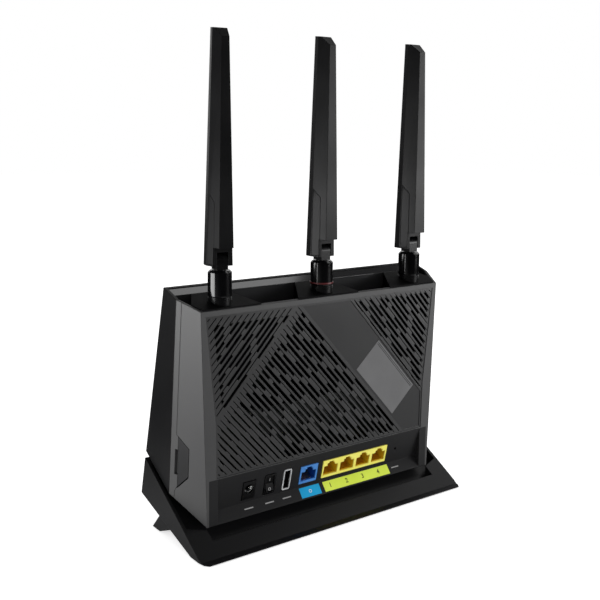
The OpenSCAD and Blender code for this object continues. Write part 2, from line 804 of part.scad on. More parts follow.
// Block on the board; place and size across and up are parts of the board's half-width and height
module on_board_block(x, z, w, h, t, y = board_t)
    translate([x * board_half, y, board_lo + z * board_tall]) cube([w * board_half, t, h * board_tall]);
sink_t = 2.4;
fin_n = 9;
fin_h = 4.2;
module heat_sink()
    placed() color("#9a9da1") on_board() {
        on_board_block(-0.24, 0.29, 0.48, 0.49, sink_t);
        for (i = [0 : fin_n - 1])
            on_board_block(-0.24 + i * 0.463 / (fin_n - 1), 0.29, 0.017, 0.49, fin_h + 0.1, board_t + sink_t - 0.1);
    }
can_t = 3;
module shield_cans()
    placed() color("#c2c5c8") on_board() {
        on_board_block(-0.78, 0.42, 0.37, 0.34, can_t);
        on_board_block(0.41, 0.5, 0.33, 0.29, can_t);
        on_board_block(-0.7, 0.22, 0.33, 0.27, can_t, -can_t);
    }
module_t = 3.6;
module modem_module()
    placed() color("#27572f") on_board() on_board_block(0.37, 0.07, 0.46, 0.37, module_t);

// Coaxial leads from the jacks down to the board
lead_d = 1.4;
lead_end_z = trough_z - 16;
module coax_leads()
    placed() color("#5e5f62")
        for (i = [-1, 0, 1]) {
            x = i * antenna_pitch;
            x2 = x * 0.62 + 8;
            top = [x, -antenna_back, jack_tail_z];
            low = [x2, front_y(lead_end_z) + (wall + board_gap + board_t) / cos(lean) + 0.9, lead_end_z];
            mid = [x, -antenna_back, jack_tail_z - 4];
            rod(top, mid - [0, 0, 0.5]);
            rod(mid, low);
            translate(mid) sphere(d = lead_d + 0.4);
        }
module rod(a, b)
    translate(a) rotate([0, acos((b - a)[2] / norm(b - a)), atan2((b - a)[1], (b - a)[0])])
        cylinder(d = lead_d, h = norm(b - a));

// ---- Antennas ----
jack_stem_d = 6.4;
jack_foot_z = top_z(-antenna_back) + 1.2;
jack_tail_z = trough_z - deck_t - 6;
hinge_z = collar_low + collar_h + hinge_up;
collar_gap = 0.3;
module at_antenna(i) placed() translate([i * antenna_pitch, -antenna_back, 0]) children();
module turned(i) at_antenna(i) rotate([0, 0, i > 0 ? left_turn : 0]) children();

module jack(i)
    at_antenna(i) color("#191919") {
        // ridged nut that stands on the seat
        intersection() {
            union() {
                translate([0, 0, 130]) cylinder(d = collar_d - 0.6, h = collar_low - 130 - 0.1);
                for (z = [jack_foot_z + 0.2 : 1.1 : collar_low - 0.6])
                    translate([0, 0, z]) cylinder(d = collar_d, h = 0.5);
            }
            translate([0, antenna_back, 0]) along_x(40)
                polygon([
                    [1, top_z(0) + 0.65], [-top_d, top_z(-top_d) + 0.65],
                    [-top_d, far], [1, far]
                ]);
        }
        translate([0, 0, jack_tail_z]) cylinder(d = jack_stem_d, h = jack_foot_z - jack_tail_z + 1);
        translate([0, 0, trough_z - deck_t - 2.4]) cylinder(d = 10, h = 2.2, $fn = 6);
        translate([0, 0, collar_low - 0.2]) cylinder(d = jack_stem_d, h = 6);
    }
bore_gap = 0.15;
neck_d = 7;
module collar(i)
    at_antenna(i) color("#0e0e0f")
        difference() {
            rotate_extrude()
                polygon([
                    [0, collar_low], [collar_d / 2 - 0.3, collar_low], [collar_d / 2, collar_low + 0.5],
                    [collar_d / 2, collar_low + collar_h - 1.2], [collar_d / 2 - 1.2, collar_low + collar_h],
                    [0, collar_low + collar_h]
                ]);
            translate([0, 0, collar_low - 1]) cylinder(d = jack_stem_d + 2 * bore_gap, h = 7.4);
            translate([0, 0, collar_low + 7.5]) cylinder(d = neck_d + 2 * pin_fit, h = far);
        }
module knuckle(i)
    turned(i) color("#3c3c3d")
        difference() {
            union() {
                translate([0, 0, collar_low + 8]) cylinder(d = neck_d, h = collar_h - 8 + 1);
                intersection() {
                    translate([0, 0, collar_low + collar_h + collar_gap]) cylinder(d = collar_d - 3, h = 20);
                    hull() {
                        translate([0, 0, hinge_z]) rotate([0, 90, 0])
                            cylinder(r = tongue_r, h = tongue_w, center = true, $fn = 32);
                        translate([-tongue_w / 2, -tongue_r, collar_low + collar_h + collar_gap])
                            cube([tongue_w, 2 * tongue_r, 0.5]);
                    }
                }
            }
            translate([0, 0, hinge_z]) rotate([0, 90, 0]) cylinder(d = pin_d + 0.04, h = 20, center = true);
        }
pin_len = 13.6;
module pin(i)
    turned(i) color("#8a8c8f")
        translate([0, 0, hinge_z]) rotate([0, 90, 0]) cylinder(d = pin_d, h = pin_len, center = true);

// Blade: a six-sided paddle that tapers to its tip
foot_section = [[4.85, 9.9], [8.2, -1.6], [7.7, -6.8], [-7.7, -6.8], [-8.2, -1.6], [-4.85, 9.9]];
tip_section = [[2.3, 7.6], [4.5, -1.2], [4.1, -5], [-4.1, -5], [-4.5, -1.2], [-2.3, 7.6]];
cheek_low = 3.5;                 // below the hinge
notch_up = 7.7;                  // the rear facet starts this far above the hinge
cheek_rear = 4.4;
module blade_body() {
    z0 = hinge_z - cheek_low;
    z1 = hinge_z + blade_len;
    difference() {
        hull() {
            translate([0, 0, z0]) linear_extrude(0.01) polygon(foot_section);
            translate([0, 0, z1]) linear_extrude(0.01) polygon(tip_section);
        }
        // top: nearly level at the front, then falling to the rear
        translate([0, 0.5, z1 - 0.8]) rotate([-5, 0, 0]) translate([-20, -30, 0]) cube([40, 30, 20]);
        translate([0, 0.5, z1 - 0.8]) rotate([-37, 0, 0]) translate([-20, 0, 0]) cube([40, 30, 20]);
        translate([0, 0.5, z1 - 0.8]) rotate([-21, 0, 0]) translate([-20, -1, 0]) cube([40, 2, 20]);
    }
}
facet_v = foot_section[0] - foot_section[1];
facet_a = atan2(facet_v[1], facet_v[0]) - 90;
module panel_zone(g = 0)
    translate([foot_section[1][0], foot_section[1][1], hinge_z - cheek_low])
        rotate([0, 0, facet_a]) translate([-1.1 - g, 0, 0]) rotate([90, 0, 90]) linear_extrude(10)
            polygon([
                [0.9 - g, 1 - g], [7.2 + g, 1 - g], [6.6 + g, 0.28 * blade_len + g], [0.9 - g, 0.32 * blade_len + g]
            ]);
module blade(i)
    turned(i) color("#262627")
        difference() {
            blade_body();
            translate([0, 0, hinge_z]) {
                // notch behind the hinge, slot for the tongue, bevel at the front foot
                translate([-20, cheek_rear, -20]) cube([40, 20, 20 + notch_up]);
                translate([-tongue_w / 2 - 0.15, -tongue_r - 0.4, -20]) cube([tongue_w + 0.3, 30, 20 + tongue_r + 0.5]);
                translate([-20, -6.9, 1.2]) rotate([-50, 0, 0]) translate([0, -10, -10]) cube([40, 10, 10]);
                rotate([0, 90, 0]) cylinder(d = pin_d + 2 * pin_fit, h = pin_len + 0.4, center = true);
            }
            panel_zone(0.15);
        }
module blade_panel(i)
    turned(i) color("#2d2d2e")
        intersection() {
            blade_body();
            panel_zone();
            translate([0, 0, hinge_z]) difference() {
                cube(far, center = true);
                translate([-20, cheek_rear, -20]) cube([40, 20, 20 + notch_up]);
                translate([-20, -6.9, 1.2]) rotate([-50, 0, 0]) translate([0, -10, -10]) cube([40, 10, 10]);
                rotate([0, 90, 0]) cylinder(d = pin_d + 2 * pin_fit, h = pin_len + 0.4, center = true);
            }
        }

// Identification ring at the foot of the middle antenna's collar
module antenna_ring()
    at_antenna(0) color("#5a1418")
        translate([0, 0, collar_low + 0.9])
            difference() {
                cylinder(d = collar_d + 0.8, h = 1);
                translate([0, 0, -1]) cylinder(d = collar_d + 0.04, h = 3);
            }

// ---- Stand ----
stand_rear_h = 0.6;
module stand_side() {
    top_y = (front_y(stand_top0) + stand_inset_y) / (1 + lean_t * slope_t);
    flat_y = (stand_under0 - pad_h) / under_t;
    rear_top_y = (stand_top0 - pad_h - stand_rear_h) / slope_t;
    polygon([
        [stand_back, pad_h], [rear_top_y, pad_h + stand_rear_h], [top_y, stand_top(top_y)],
        [stand_front_y, stand_under(stand_front_y)], [flat_y, pad_h]
    ]);
}
foot_front = -45.5;
foot_rear = -36;
module foot_side()
    polygon([
        [foot_front, pad_h], [foot_rear, pad_h], [-19, stand_under(-19) + 0.5], [-35, stand_under(-35) + 0.5]
    ]);
post_x = recess_half - 13.5;
screw_y = [-14, -40];
screw_d = 3;
module stand_base()
    placed() color("#1d1d1e")
        difference() {
            union() {
                difference() {
                    union() {
                        intersection() {
                            along_x(stand_w + 2 * stand_flare) stand_side();
                            linear_extrude(far) stand_plan();
                        }
                        both_sides() along_x(foot_len, stand_w / 2 - foot_len / 2 - 1) foot_side();
                    }
                    pocket();
                }
                // posts that carry the body
                intersection() {
                    both_sides() for (y = screw_y)
                        translate([post_x, y, 0]) cylinder(d = 12, h = far);
                    along_x(stand_w)
                        polygon([
                            [0, stand_under(0) + 2], [0, body_low(0)],
                            [-far, body_low(-far)], [-far, stand_under(-far) + 2]
                        ]);
                }
            }
            stand_screw_holes();
        }
module housing_screw_bores()
    both_sides() for (y = screw_y) translate([post_x, y, body_low(y) - 10]) cylinder(d = screw_d + 0.1, h = 20);
module stand_screw_holes()
    both_sides() for (y = screw_y)
        translate([post_x, y, -1]) {
            cylinder(d = 3.4, h = far);
            cylinder(d = 6.4, h = 1 + stand_under(y) + 4);
        }
// Ends flare towards the rear and their rear corners are cut in two facets
module stand_plan() {
    x1 = stand_w / 2;
    x2 = x1 + stand_flare;
    left = [
        [x1, -far], [x1, stand_front_y], [x2, stand_back - 7.8], [x2 - 0.9, stand_back - 2.8], [x2 - 3.1, stand_back]
    ];
    polygon(concat(left, mirror_x(left)));
}
pocket_half = rear_w / 2 + 0.4;
stand_rim = 1.5;                 // rim between the pocket and each end of the stand
pocket_floor = 1.6;              // least thickness left below the pocket
module pocket() {
    y1 = front_foot_y + 8;
    d = pocket_depth / cos(stand_slope);
    x2 = stand_w / 2 - stand_rim;
    left = [[x2, y1], [x2, -4], [pocket_half, -0.5], [pocket_half, pocket_back]];
    intersection() {
        translate([0, 0, pad_h + pocket_floor]) linear_extrude(far) polygon(concat(left, mirror_x(left)));
        along_x(far) polygon([[far, stand_top(far) - d], [far, far], [-far, far], [-far, stand_top(-far) - d]]);
    }
}
module stand_screws()
    placed() color("#9b9ea2")
        both_sides() for (y = screw_y)
            translate([post_x, y, stand_under(y) + 1.4]) {
                cylinder(d = 5.8, h = 2.6);
                cylinder(d = screw_d, h = body_low(y) - stand_under(y) + 1.5);
            }
pad_len = 32;
pad_edge = 10;                   // from the end of the stand to its pads
module rubber_feet()
    placed() color("#0b0b0b") both_sides() {
        translate([stand_w / 2 - pad_edge - pad_len, foot_front + 1, 0])
            cube([pad_len, foot_rear - foot_front - 2, pad_h]);
        translate([stand_w / 2 - pad_edge - pad_len, stand_back - 13.8, 0]) cube([pad_len, 8, pad_h]);
    }

module antenna_left_jack() jack(1);
module antenna_left_collar() collar(1);
module antenna_left_knuckle() knuckle(1);
module antenna_left_pin() pin(1);
module antenna_left_blade() blade(1);
module antenna_left_panel() blade_panel(1);
module antenna_middle_jack() jack(0);
module antenna_middle_collar() collar(0);
module antenna_middle_knuckle() knuckle(0);
module antenna_middle_pin() pin(0);
module antenna_middle_blade() blade(0);
module antenna_middle_panel() blade_panel(0);
module antenna_right_jack() jack(-1);
module antenna_right_collar() collar(-1);
module antenna_right_knuckle() knuckle(-1);
module antenna_right_pin() pin(-1);
module antenna_right_blade() blade(-1);
module antenna_right_panel() blade_panel(-1);

front_cover();
light_guide();
mid_frame();
rear_cover();
vent_grille();
top_deck();
antenna_seats();
sim_door();
sim_socket();
port_board();
lan_port_block();
wan_port();
usb_port();
usb_tongue();
dc_jack();
dc_jack_pin();
power_switch_housing();
power_rocker();
reset_button();
pairing_button();
wan_label();
lan_label();
rating_label();
main_board();
heat_sink();
shield_cans();
modem_module();
board_screws();
coax_leads();
stand_base();
stand_screws();
rubber_feet();
antenna_ring();
antenna_left_jack();
antenna_left_collar();
antenna_left_knuckle();
antenna_left_pin();
antenna_left_blade();
antenna_left_panel();
antenna_middle_jack();
antenna_middle_collar();
antenna_middle_knuckle();
antenna_middle_pin();
antenna_middle_blade();
antenna_middle_panel();
antenna_right_jack();
antenna_right_collar();
antenna_right_knuckle();
antenna_right_pin();
antenna_right_blade();
antenna_right_panel();
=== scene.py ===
import bpy, math
from mathutils import Matrix, Vector


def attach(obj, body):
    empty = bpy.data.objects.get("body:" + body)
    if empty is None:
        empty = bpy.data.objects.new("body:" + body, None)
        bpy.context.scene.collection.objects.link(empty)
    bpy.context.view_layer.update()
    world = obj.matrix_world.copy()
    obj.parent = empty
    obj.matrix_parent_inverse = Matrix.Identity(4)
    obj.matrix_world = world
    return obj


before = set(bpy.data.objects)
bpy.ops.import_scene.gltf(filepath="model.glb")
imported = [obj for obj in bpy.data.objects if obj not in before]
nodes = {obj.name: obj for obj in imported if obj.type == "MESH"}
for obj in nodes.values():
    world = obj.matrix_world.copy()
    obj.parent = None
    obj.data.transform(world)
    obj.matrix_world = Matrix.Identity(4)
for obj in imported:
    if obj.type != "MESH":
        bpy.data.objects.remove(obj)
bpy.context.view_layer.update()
mm = 0.001

print("stage: camera and light")

# camera: a long lens a little above the table, looking at the port side from the left
cameraPlace = {
    "at": (361.2 * mm, 466.95 * mm, 251.3 * mm),
    "yaw": 143.10,      # degrees round the router, 0 looks along +Y
    "pitch": 7.13,
    "roll": 0.75,
    "lens": 54.84,
    "sensor": 36.0,
    "shiftY": -0.0967,
    "clip": (0.01, 50),
}


def makeCamera(place):
    data = bpy.data.cameras.new("camera")
    camera = bpy.data.objects.new("camera", data)
    bpy.context.scene.collection.objects.link(camera)
    yaw, pitch = math.radians(place["yaw"]), math.radians(place["pitch"])
    back = Vector((math.sin(yaw) * math.cos(pitch), -math.cos(yaw) * math.cos(pitch), math.sin(pitch)))
    right = (-back).cross(Vector((0, 0, 1))).normalized()
    right = Matrix.Rotation(math.radians(place["roll"]), 3, back) @ right
    up = back.cross(right)
    turn = Matrix((right, up, back)).transposed()
    camera.matrix_world = Matrix.Translation(place["at"]) @ turn.to_4x4()
    data.lens = place["lens"]
    data.sensor_width = place["sensor"]
    data.shift_y = place["shiftY"]
    data.clip_start, data.clip_end = place["clip"]
    bpy.context.scene.camera = camera


# soft studio light
lamps = {
    # name: place, aims at, size across and up, watts
    "leftBox": ((0.66, -0.14, 0.10), (0.0, 0.0, 0.10), (0.5, 0.2), 3.4),
    "topBox": ((-1.25, 0.05, 1.20), (0.0, 0.0, 0.10), (0.9, 1.2), 6.0),
    "backBox": ((-0.66, -0.89, 1.09), (0.0, 0.0, 0.15), (0.45, 0.5), 0.9),
    "rearFill": ((-1.19, 1.07, 0.26), (0.0, 0.0, 0.12), (0.8, 0.5), 13.0),
}
studio = {
    "roomGrey": 0.6,                # even light that reaches matt surfaces from all round
    "glossGrey": 0.03,              # what gloss shows of the dark studio
    "sweepWay": (-0.6, -0.8, 0.0),  # towards the white backdrop
    "sweepSides": (0.35, 0.7),      # where it fades in, as the cosine of the angle from its middle
    "sweepTop": (0.45, 0.35),       # where it fades in from above, as the sine of the elevation
    # the floor: its size, its paper, the light it adds for the camera, and the painted shade that gloss sees
    # past the lit table
    "floorSize": 8,
    "paper": "#ececec",
    "floorLift": 0.62,
    "paintedShadeFloor": "#1c1c1c",
    # where the painted pool of light on the table fades in and out for gloss, along X and along Y
    "tableStart": (-0.62, -0.18), "tableFull": (-0.45, 0.0),
    "tableFade": (0.75, 0.25), "tableEnd": (0.95, 0.60),
}


def makeLamp(name, place, target, size, watts):
    data = bpy.data.lights.new(name, "AREA")
    data.shape = "RECTANGLE"
    data.size, data.size_y = size
    data.energy = watts
    lamp = bpy.data.objects.new(name, data)
    bpy.context.scene.collection.objects.link(lamp)
    lamp.location = place
    lamp.visible_camera = False
    lamp.rotation_mode = "QUATERNION"
    lamp.rotation_quaternion = (Vector(target) - Vector(place)).to_track_quat("-Z", "Y")


def linearColour(hexText):
    # sRGB hex to the linear values that the shaders read
    values = [int(hexText[i : i + 2], 16) / 255 for i in (1, 3, 5)]
    return tuple(v / 12.92 if v <= 0.04045 else ((v + 0.055) / 1.055) ** 2.4 for v in values) + (1.0,)


def addNode(tree, kind, inputs=None, links=None, **settings):
    # a mix node goes from input 2 to 3 for values, and from 6 to 7 for colours, which leave by output 2
    node = tree.nodes.new(kind)
    for key, value in settings.items():
        setattr(node, key, value)
    for key, value in (inputs or {}).items():
        node.inputs[key].default_value = value
    for key, (source, output) in (links or {}).items():
        tree.links.new(source.outputs[output], node.inputs[key])
    return node


def addRays(tree):
    # the light path, and 1 for what the camera sees straight or through clear pieces
    path = addNode(tree, "ShaderNodeLightPath")
    seen = addNode(tree, "ShaderNodeMath", operation="MAXIMUM",
                   links={0: (path, "Is Camera Ray"), 1: (path, "Is Transmission Ray")})
    return path, seen


def makeWorld():
    world = bpy.data.worlds.new("studio")
    bpy.context.scene.world = world
    world.use_nodes = True
    world.cycles.sampling_method = "NONE"  # so that gloss meets the world only by its own rays
    tree = world.node_tree
    tree.nodes.clear()
    path, seen = addRays(tree)
    # the white sweep stands behind the router, so gloss shows it from there; the rest of the studio is dark
    way = addNode(tree, "ShaderNodeTexCoord")
    behind = addNode(tree, "ShaderNodeVectorMath", operation="DOT_PRODUCT",
                     inputs={1: studio["sweepWay"]}, links={0: (way, "Generated")})
    sideStart, sideFull = studio["sweepSides"]
    across = addNode(tree, "ShaderNodeMapRange", inputs={"From Min": sideStart, "From Max": sideFull},
                     links={"Value": (behind, "Value")})
    axes = addNode(tree, "ShaderNodeSeparateXYZ", links={0: (way, "Generated")})
    topStart, topFull = studio["sweepTop"]
    below = addNode(tree, "ShaderNodeMapRange", inputs={"From Min": topStart, "From Max": topFull},
                    links={"Value": (axes, "Z")})
    sweep = addNode(tree, "ShaderNodeMath", operation="MULTIPLY",
                    links={0: (across, "Result"), 1: (below, "Result")})
    inGloss = addNode(tree, "ShaderNodeMapRange", inputs={"To Min": studio["glossGrey"], "To Max": 1.0},
                      links={"Value": (sweep, "Value")})
    room = addNode(tree, "ShaderNodeMix", inputs={2: studio["roomGrey"]},
                   links={0: (path, "Is Glossy Ray"), 3: (inGloss, "Result")})
    shown = addNode(tree, "ShaderNodeMix", inputs={3: 1.0}, links={0: (seen, "Value"), 2: (room, "Result")})
    paper = addNode(tree, "ShaderNodeBackground", inputs={"Color": linearColour("#ffffff")},
                    links={"Strength": (shown, "Result")})
    addNode(tree, "ShaderNodeOutputWorld", links={"Surface": (paper, "Background")})


def newMaterial(name):
    material = bpy.data.materials.new(name)
    material.use_nodes = True
    material.node_tree.nodes.clear()
    return material, material.node_tree


def makeFloor():
    # matt white paper, bright enough for the camera to see it as plain white with the router's shadow on it
    bpy.ops.mesh.primitive_plane_add(size=studio["floorSize"], location=(0, 0, 0))
    floor = bpy.context.active_object
    floor.name = "floor"
    material, tree = newMaterial("white paper sweep")
    path, seen = addRays(tree)
    lift = addNode(tree, "ShaderNodeMath", operation="MULTIPLY",
                   inputs={1: studio["floorLift"]}, links={0: (seen, "Value")})
    paper = addNode(tree, "ShaderNodeBsdfDiffuse", inputs={"Color": linearColour(studio["paper"])})
    glow = addNode(tree, "ShaderNodeEmission", inputs={"Color": linearColour("#ffffff")},
                   links={"Strength": (lift, "Value")})
    both = addNode(tree, "ShaderNodeAddShader", links={0: (paper, "BSDF"), 1: (glow, "Emission")})
    # a painted pool of light for gloss: the white paper where the table counts as lit, and painted shade past
    # its edges
    place = addNode(tree, "ShaderNodeTexCoord")
    axes = addNode(tree, "ShaderNodeSeparateXYZ", links={0: (place, "Object")})
    lit = None
    for index, way in enumerate("XY"):
        for low, high in (("tableStart", "tableFull"), ("tableEnd", "tableFade")):
            side = addNode(tree, "ShaderNodeMapRange", links={"Value": (axes, way)},
                           inputs={"From Min": studio[low][index], "From Max": studio[high][index]})
            lit = side if lit is None else addNode(tree, "ShaderNodeMath", operation="MULTIPLY",
                                                   links={0: (lit, 0), 1: (side, "Result")})
    past = addNode(tree, "ShaderNodeMath", operation="SUBTRACT", inputs={0: 1.0}, links={1: (lit, "Value")})
    dark = addNode(tree, "ShaderNodeMath", operation="MULTIPLY",
                   links={0: (past, "Value"), 1: (path, "Is Glossy Ray")})
    paintedShadePaper = addNode(tree, "ShaderNodeBsdfDiffuse", inputs={"Color": linearColour(studio["paintedShadeFloor"])})
    shown = addNode(tree, "ShaderNodeMixShader",
                    links={0: (dark, "Value"), 1: (both, "Shader"), 2: (paintedShadePaper, "BSDF")})
    addNode(tree, "ShaderNodeOutputMaterial", links={"Surface": (shown, "Shader")})
    floor.data.materials.append(material)


bpy.ops.object.select_all(action="DESELECT")
bpy.context.scene.view_settings.view_transform = "Standard"
makeCamera(cameraPlace)
for name, spot in lamps.items():
    makeLamp(name, *spot)
makeWorld()
makeFloor()

print("stage: materials")

# the flat faces of the rear, in mm: Y and Z of a point on each, and how far its top leans out, in degrees
surfaces = {
    "rearWall": (18.408, 0.0, 0.0),
    "portPanel": (18.408, 41.5, 12.6),      # from its upper edge
    "labelLedge": (13.543, 19.737, -37.95),  # from its upper edge
    "ratingLabel": (17.608, 0.0, 0.0),
}
moulding = {
    "noiseSpan": (0.3, 0.7),  # most of a noise pattern's values lie between these
    "driftDetail": 3.0,
    "grainDetail": 2.0,
    "grainDeepMm": 0.05,
    "edgeSamples": 4,
    "specular": 0.5,          # where a look gives none
}


def addZone(tree, keep, tone, specular, colour, level):
    # paints shade: keeps colour and gloss level where the mask is 1, and gives the shaded tone and level where
    # it is 0
    zoneColour = addNode(tree, "ShaderNodeMix", data_type="RGBA", inputs={6: linearColour(tone)},
                         links={"Factor": keep, 7: (colour, 2)})
    zoneLevel = addNode(tree, "ShaderNodeMapRange", inputs={"To Min": specular}, links={"Value": keep})
    if isinstance(level, float):
        zoneLevel.inputs["To Max"].default_value = level
    else:
        tree.links.new(level.outputs["Result"], zoneLevel.inputs["To Max"])
    return zoneColour, zoneLevel


# moulded plastics: one recipe, with the settings that each tool finish gives
# driftMm and grainMm are the sizes of the two patterns, grain is the bump's strength, edgeMm the edges' radius
# deep has steps of painted shade below a face: where each starts and is full in mm, its tone and its specular
# level
def mouldedPlastic(name, look):
    material, tree = newMaterial(name)
    place = addNode(tree, "ShaderNodeTexCoord")
    noiseLow, noiseHigh = moulding["noiseSpan"]
    # slow drift of tone over the moulding, as flow and handling leave it
    drift = addNode(tree, "ShaderNodeTexNoise", links={"Vector": (place, "Object")},
                    inputs={"Scale": 1 / (look["driftMm"] * mm), "Detail": moulding["driftDetail"]})
    tone = addNode(tree, "ShaderNodeMapRange", inputs={"From Min": noiseLow, "From Max": noiseHigh},
                   links={"Value": (drift, "Fac")})
    colour = addNode(tree, "ShaderNodeMix", data_type="RGBA", links={"Factor": (tone, "Result")},
                     inputs={6: linearColour(look["dark"]), 7: linearColour(look["light"])})
    level = look.get("specular", moulding["specular"])
    inner = look.get("inner")
    if inner:
        # painted shade: the port panel's recess is painted a darker tone with less gloss than the side round
        # it
        axes = addNode(tree, "ShaderNodeSeparateXYZ", links={0: (place, "Object")})
        out = addNode(tree, "ShaderNodeMath", operation="ABSOLUTE", links={0: (axes, "X")})
        limits = []
        for source, (start, full) in (((out, "Value"), inner["sideMm"]), ((axes, "Z"), inner["topMm"])):
            limits.append(addNode(tree, "ShaderNodeMapRange", links={"Value": source},
                                  inputs={"From Min": start * mm, "From Max": full * mm}))
        outside = addNode(tree, "ShaderNodeMath", operation="MAXIMUM",
                          links={index: (limit, "Result") for index, limit in enumerate(limits)})
        colour, level = addZone(tree, (outside, "Value"), inner["tone"], inner["specular"], colour, level)
    deep = look.get("deep")
    if deep:
        # painted shade: less light gets below the face, so each step paints it in its own tone and gloss
        # level, darker deeper down
        faceY, faceZ, lean = surfaces[deep["below"]]
        out = (0.0, math.cos(math.radians(lean)), -math.sin(math.radians(lean)))
        height = addNode(tree, "ShaderNodeVectorMath", operation="DOT_PRODUCT",
                         inputs={1: out}, links={0: (place, "Object")})
        face = faceY * out[1] + faceZ * out[2]
        for start, full, tone, specular in deep["steps"]:
            near = addNode(tree, "ShaderNodeMapRange", links={"Value": (height, "Value")},
                           inputs={"From Min": (face - full) * mm, "From Max": (face - start) * mm})
            colour, level = addZone(tree, (near, "Result"), tone, specular, colour, level)
    # spark-eroded grain: a real one is under 0.2 mm, drawn coarser so that it shows
    grain = addNode(tree, "ShaderNodeTexNoise", links={"Vector": (place, "Object")},
                    inputs={"Scale": 1 / (look["grainMm"] * mm), "Detail": moulding["grainDetail"]})
    rough = addNode(tree, "ShaderNodeMapRange", links={"Value": (drift, "Fac")},
                    inputs={"From Min": noiseLow, "From Max": noiseHigh,
                            "To Min": look["rough"] - look["roughVary"],
                            "To Max": look["rough"] + look["roughVary"]})
    # moulded edges have a small radius, which catches the light
    edge = addNode(tree, "ShaderNodeBevel", inputs={"Radius": look["edgeMm"] * mm},
                   samples=moulding["edgeSamples"])
    bump = addNode(tree, "ShaderNodeBump", links={"Height": (grain, "Fac"), "Normal": (edge, "Normal")},
                   inputs={"Strength": look["grain"], "Distance": moulding["grainDeepMm"] * mm})
    shader = addNode(tree, "ShaderNodeBsdfPrincipled",
                     inputs={"Specular IOR Level": look.get("specular", moulding["specular"])},
                     links={"Base Color": (colour, 2), "Roughness": (rough, "Result"),
                            "Normal": (bump, "Normal")})
    if inner or deep:
        tree.links.new(level.outputs["Result"], shader.inputs["Specular IOR Level"])
    addNode(tree, "ShaderNodeOutputMaterial", links={"Surface": (shader, "BSDF")})
    return material


def satinAbsShell():
    # ABS from a fine eroded tool: near black, soft sheen on the front shell
    return mouldedPlastic("satin black ABS", {
        "dark": "#101011", "light": "#151516", "driftMm": 60, "grainMm": 0.7, "grain": 0.18,
        "rough": 0.38, "roughVary": 0.03, "edgeMm": 0.5, "specular": 0.12})


def greyAbsSide():
    # ABS with a finer tool finish: dark grey that goes pale where the light grazes it
    return mouldedPlastic("grey satin ABS", {
        "dark": "#313132", "light": "#393939", "driftMm": 70, "grainMm": 0.6, "grain": 0.12,
        "rough": 0.48, "roughVary": 0.03, "edgeMm": 0.5,
        # painted shade on the port panel: darker and less glossy inside these limits
        "inner": {"sideMm": (89.5, 90.0), "topMm": (41.4, 41.6), "tone": "#1e1e1f", "specular": 0.15}})


def darkAbsDoor():
    # ABS from another tool: the door and the pairing button are blacker than the side round them
    return mouldedPlastic("dark satin ABS", {
        "dark": "#131314", "light": "#18181a", "driftMm": 25, "grainMm": 0.6, "grain": 0.12,
        "rough": 0.36, "roughVary": 0.03, "edgeMm": 0.4, "specular": 0.35})


def mattAbsGrille():
    # ABS with a coarser eroded finish: flat dark grey ribs between the slots
    return mouldedPlastic("matt grille ABS", {
        "dark": "#19191a", "light": "#212122", "driftMm": 50, "grainMm": 0.8, "grain": 0.25,
        "rough": 0.35, "roughVary": 0.04, "edgeMm": 0.25,
        # painted shade in the slots: darker and less glossy deeper below the rear face
        "deep": {"below": "rearWall",
                 "steps": [(0.4, 0.6, "#1c1c1d", 0.35), (1.1, 1.6, "#0a0a0b", 0.05)]}})


def polishedDarkDeck():
    # polished black ABS with clear reflections, its colour lifted to dark grey as painted reflection
    return mouldedPlastic("polished dark ABS", {
        "dark": "#202021", "light": "#272728", "driftMm": 80, "grainMm": 1.5, "grain": 0.02,
        "rough": 0.12, "roughVary": 0.03, "edgeMm": 0.4})


def mattBlackSeat():
    # ABS with a deep matt finish round the antenna feet: black from all sides, without highlights
    return mouldedPlastic("matt black ABS", {
        "dark": "#050506", "light": "#09090a", "driftMm": 20, "grainMm": 0.6, "grain": 0.2,
        "rough": 0.6, "roughVary": 0.04, "edgeMm": 0.4, "specular": 0.08})


def polishedCollar():
    # polished nylon nut: black, with sharp narrow highlights down its sides
    return mouldedPlastic("polished black nylon", {
        "dark": "#040405", "light": "#080809", "driftMm": 20, "grainMm": 0.8, "grain": 0.02,
        "rough": 0.14, "roughVary": 0.03, "edgeMm": 0.3, "specular": 0.4})


def blackPolycarbonate():
    # antenna sheath: black with a soft satin gloss
    return mouldedPlastic("satin black polycarbonate", {
        "dark": "#0c0c0d", "light": "#121213", "driftMm": 40, "grainMm": 0.6, "grain": 0.12,
        "rough": 0.36, "roughVary": 0.04, "edgeMm": 0.5, "specular": 0.13})


def blackNylon():
    # glass-filled nylon of connector bodies and knuckles: black, with a dull broken highlight
    return mouldedPlastic("black nylon", {
        "dark": "#060607", "light": "#0b0b0c", "driftMm": 15, "grainMm": 0.5, "grain": 0.1,
        "rough": 0.28, "roughVary": 0.05, "edgeMm": 0.25, "specular": 0.2})


def yellowPbt():
    # PBT of the network sockets: pale lemon face with a soft sheen, and amber inside as painted shade
    return mouldedPlastic("yellow PBT", {
        "dark": "#f8ee68", "light": "#fcf57a", "driftMm": 12, "grainMm": 0.5, "grain": 0.08,
        "rough": 0.4, "roughVary": 0.04, "edgeMm": 0.25, "specular": 0.3,
        "deep": {"below": "portPanel", "steps": [(0.1, 0.6, "#dcb31c", 0.3)]}})


def bluePbt():
    # PBT of the uplink socket: clear mid blue face with a soft sheen, and dark blue inside as painted shade
    return mouldedPlastic("blue PBT", {
        "dark": "#4583cc", "light": "#5490d6", "driftMm": 12, "grainMm": 0.5, "grain": 0.08,
        "rough": 0.4, "roughVary": 0.04, "edgeMm": 0.25, "specular": 0.3,
        "deep": {"below": "portPanel", "steps": [(0.1, 0.6, "#15489c", 0.3)]}})


